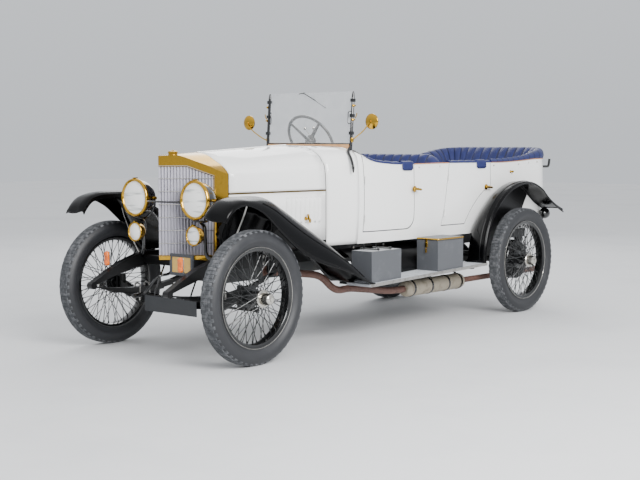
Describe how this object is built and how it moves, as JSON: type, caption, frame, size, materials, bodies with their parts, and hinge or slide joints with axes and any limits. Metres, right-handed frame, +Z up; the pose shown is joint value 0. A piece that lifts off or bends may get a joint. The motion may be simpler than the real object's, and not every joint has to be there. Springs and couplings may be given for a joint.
{
  "type": "vintage touring car",
  "caption": "Open 1920s touring car on wire wheels: V radiator, long folding bonnet, doors, leather seats and rolled coaming, swept wings over running boards; it rolls and steers.",
  "frame": {"origin": "on the ground under the middle of the car's length, on its centre line", "axes": "the car faces -Y, +X is its left side, +Z is up"},
  "size_m": [1.752, 4.6425, 1.8467],
  "materials": {
    "white_paint": "gloss",
    "black_paint": "gloss",
    "brass": "polished",
    "tyre_rubber": "matte",
    "blue_leather": "satin",
    "engine_iron": "satin",
    "core_metal": "satin",
    "dark_box": "matte",
    "board_grey": "matte",
    "tan_wood": "satin",
    "glass": "clear",
    "exhaust_steel": "matte"
  },
  "bodies": {
    "chassis": {"battery_box": "dark_box", "body_tub": "white_paint", "cross_front": "black_paint", "cross_middle": "black_paint", "cross_rear": "black_paint", "engine_block": "engine_iron", "exhaust": "exhaust_steel", "fender_front_left": "black_paint", "fender_front_right": "black_paint", "fender_rear_left": "black_paint", "fender_rear_right": "black_paint", "front_axle": "black_paint", "headlamp_left": "brass", "headlamp_right": "brass", "lamp_bar": "black_paint", "mirror_left": "brass", "mirror_right": "brass", "radiator_core": "core_metal", "radiator_shell": "brass", "rail_left": "black_paint", "rail_right": "black_paint", "rear_axle": "black_paint", "running_board_left": "board_grey", "running_board_right": "board_grey", "scuttle": "white_paint", "seat_front": "blue_leather", "seat_rear": "blue_leather", "side_lamp_left": "brass", "side_lamp_right": "brass", "starting_handle": "black_paint", "steering_column": "black_paint", "tool_box": "dark_box", "windscreen_board": "tan_wood", "windscreen_frame": "black_paint", "windscreen_glass": "glass"},
    "left_knuckle": {"knuckle_left": "black_paint"},
    "front_wheel_left": {"wheel_front_left": "black_paint", "tyre_front_left": "tyre_rubber"},
    "rear_wheel_left": {"wheel_rear_left": "black_paint", "tyre_rear_left": "tyre_rubber"},
    "front_door_left": {"door_front_left": "white_paint", "roll_front_left": "blue_leather"},
    "rear_door_left": {"door_rear_left": "white_paint", "roll_rear_left": "blue_leather"},
    "bonnet_lid_left": {"bonnet_top_left": "white_paint"},
    "bonnet_flap_left": {"bonnet_side_left": "white_paint"},
    "right_knuckle": {"knuckle_right": "black_paint"},
    "front_wheel_right": {"wheel_front_right": "black_paint", "tyre_front_right": "tyre_rubber"},
    "rear_wheel_right": {"wheel_rear_right": "black_paint", "tyre_rear_right": "tyre_rubber"},
    "front_door_right": {"door_front_right": "white_paint", "roll_front_right": "blue_leather"},
    "rear_door_right": {"door_rear_right": "white_paint", "roll_rear_right": "blue_leather"},
    "bonnet_lid_right": {"bonnet_top_right": "white_paint"},
    "bonnet_flap_right": {"bonnet_side_right": "white_paint"},
    "track_rod": {"tie_rod": "black_paint"},
    "hand_wheel": {"steering_wheel": "black_paint"},
    "tool_lid": {"tool_box_lid": "dark_box"}
  },
  "joints": [
    {"name": "steer_left", "type": "hinge", "parent": "chassis", "child": "left_knuckle", "pos_m": [0.59, -1.83, 0.4475], "axis": [0, 0, 1], "range_deg": [-28, 28]},
    {"name": "roll_front_left", "type": "hinge", "parent": "left_knuckle", "child": "front_wheel_left", "pos_m": [0.71, -1.83, 0.4475], "axis": [1, 0, 0], "continuous": true},
    {"name": "roll_rear_left", "type": "hinge", "parent": "chassis", "child": "rear_wheel_left", "pos_m": [0.71, 1.537, 0.4475], "axis": [1, 0, 0], "continuous": true},
    {"name": "steer_right", "type": "hinge", "parent": "chassis", "child": "right_knuckle", "pos_m": [-0.59, -1.83, 0.4475], "axis": [0, 0, 1], "range_deg": [-28, 28]},
    {"name": "roll_front_right", "type": "hinge", "parent": "right_knuckle", "child": "front_wheel_right", "pos_m": [-0.71, -1.83, 0.4475], "axis": [1, 0, 0], "continuous": true},
    {"name": "roll_rear_right", "type": "hinge", "parent": "chassis", "child": "rear_wheel_right", "pos_m": [-0.71, 1.537, 0.4475], "axis": [1, 0, 0], "continuous": true},
    {"name": "track_rod_turn", "type": "hinge", "parent": "left_knuckle", "child": "track_rod", "pos_m": [0.59, -1.665, 0.3302], "axis": [0, 0, 1], "range_deg": [-28, 28]},
    {"name": "steering_turn", "type": "hinge", "parent": "chassis", "child": "hand_wheel", "pos_m": [-0.22, -0.17, 1.478], "axis": [0, 0.866, 0.5], "range_deg": [-336, 336]},
    {"name": "front_door_left_open", "type": "hinge", "parent": "chassis", "child": "front_door_left", "pos_m": [0.51642, -0.401, 0.79], "axis": [0, 0, -1], "range_deg": [0, 65]},
    {"name": "front_door_right_open", "type": "hinge", "parent": "chassis", "child": "front_door_right", "pos_m": [-0.51642, -0.401, 0.79], "axis": [0, 0, 1], "range_deg": [0, 65]},
    {"name": "rear_door_left_open", "type": "hinge", "parent": "chassis", "child": "rear_door_left", "pos_m": [0.57555, 0.552, 0.79], "axis": [0, -0.1961, -0.9806], "range_deg": [0, 65]},
    {"name": "rear_door_right_open", "type": "hinge", "parent": "chassis", "child": "rear_door_right", "pos_m": [-0.57555, 0.552, 0.79], "axis": [0, 0.1961, 0.9806], "range_deg": [0, 65]},
    {"name": "bonnet_left_lift", "type": "hinge", "parent": "chassis", "child": "bonnet_lid_left", "pos_m": [0, -1.1895, 1.4165], "axis": [0, -0.9987, -0.0518], "range_deg": [0, 75]},
    {"name": "bonnet_left_fold", "type": "hinge", "parent": "bonnet_lid_left", "child": "bonnet_flap_left", "pos_m": [0.359, -1.1895, 1.11], "axis": [-0.1118, -0.9937, 0], "range_deg": [-75, 0]},
    {"name": "bonnet_right_lift", "type": "hinge", "parent": "chassis", "child": "bonnet_lid_right", "pos_m": [0, -1.1895, 1.4165], "axis": [0, 0.9987, 0.0518], "range_deg": [0, 75]},
    {"name": "bonnet_right_fold", "type": "hinge", "parent": "bonnet_lid_right", "child": "bonnet_flap_right", "pos_m": [-0.359, -1.1895, 1.11], "axis": [-0.1118, 0.9937, 0], "range_deg": [-75, 0]},
    {"name": "tool_lid_open", "type": "hinge", "parent": "chassis", "child": "tool_lid", "pos_m": [0.6725, 0.54, 0.697], "axis": [-1, 0, 0], "range_deg": [0, 80]}
  ],
  "couplings": [
    {"joint": "steer_right", "follows": "steer_left", "ratio": 1},
    {"joint": "track_rod_turn", "follows": "steer_left", "ratio": -1},
    {"joint": "steering_turn", "follows": "steer_left", "ratio": 12},
    {"joint": "bonnet_left_fold", "follows": "bonnet_left_lift", "ratio": -1},
    {"joint": "bonnet_right_fold", "follows": "bonnet_right_lift", "ratio": -1}
  ]
}
